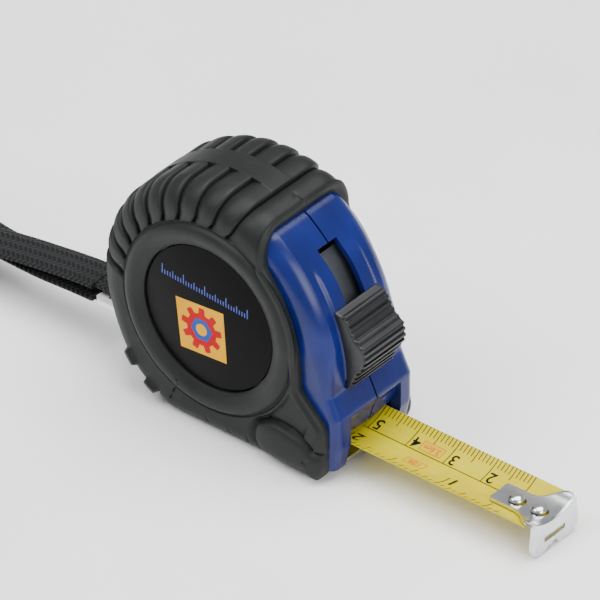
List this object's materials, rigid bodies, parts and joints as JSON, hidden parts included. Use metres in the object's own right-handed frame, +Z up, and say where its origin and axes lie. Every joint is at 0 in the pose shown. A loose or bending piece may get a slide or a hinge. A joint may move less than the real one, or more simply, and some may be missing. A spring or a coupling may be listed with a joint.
{
  "type": "tape measure",
  "caption": "Pocket tape measure with rubber-gripped case, curved steel blade partly pulled out, sliding thumb lock, riveted end hook, belt clip and woven wrist strap.",
  "frame": {"origin": "on the flat sole, straight under the reel's axis, on the case's middle plane", "axes": "+X is the way the blade runs out, +Y is the left side with the belt clip, +Z is up from the sole"},
  "size_m": [0.2359, 0.0471, 0.0599],
  "materials": {
    "blue_shell": "moulded ABS, smooth and glossy",
    "rubber_grip": "moulded thermoplastic rubber, satin",
    "label_plate": "printed, glossy",
    "black_plastic": "moulded acetal, satin",
    "blade_paint": "yellow enamel under clear coat on spring steel",
    "bright_steel": "nickel-plated, bright",
    "zinc_screw": "zinc-plated",
    "spring_steel": "blued spring steel",
    "reel_plastic": "natural acetal",
    "slip_sheet": "thin polypropylene sheet",
    "strap_braid": "flat woven polyester braid"
  },
  "bodies": {
    "case": {"right_shell": "blue_shell", "left_shell": "blue_shell", "right_grip": "rubber_grip", "left_grip": "rubber_grip", "right_label": "label_plate", "left_label": "label_plate", "mouth_plate": "bright_steel", "spindle": "reel_plastic", "case_screw_top": "zinc_screw", "case_screw_rear": "zinc_screw", "case_screw_rear_low": "zinc_screw", "case_screw_front": "zinc_screw", "belt_clip": "bright_steel", "clip_screw": "zinc_screw", "lanyard_bracket": "bright_steel", "strap_fold": "strap_braid", "strap_loop": "strap_braid", "left_slip_disc": "slip_sheet", "right_slip_disc": "slip_sheet"},
    "reel": {"reel_drum": "reel_plastic", "drum_cover": "reel_plastic", "power_spring": "spring_steel", "tape_coil": "blade_paint"},
    "lock": {"lock_button": "black_plastic", "lock_strip": "black_plastic"},
    "blade": {"tape_blade": "blade_paint", "tape_tail": "blade_paint", "rivet_rear": "bright_steel", "rivet_front": "bright_steel"},
    "hook": {"end_hook": "bright_steel"}
  },
  "joints": [
    {"name": "blade_slide", "type": "slide", "parent": "case", "child": "blade", "axis": [1, 0, 0], "range_m": [-0.0456, 0], "deforming": ["tape_tail"]},
    {"name": "reel_spin", "type": "hinge", "parent": "case", "child": "reel", "pos_m": [0, 0, 0.0289], "axis": [0, 1, 0], "range_deg": [0, 141]},
    {"name": "lock_slide", "type": "hinge", "parent": "case", "child": "lock", "pos_m": [-0.0077, 0, 0.0224], "axis": [0, -1, 0], "range_deg": [0, 13.9]},
    {"name": "hook_slide", "type": "slide", "parent": "blade", "child": "hook", "axis": [1, 0, 0], "range_m": [-0.0009, 0]}
  ],
  "couplings": [
    {"joint": "reel_spin", "follows": "blade_slide", "rad_per_m": -53.763}
  ]
}
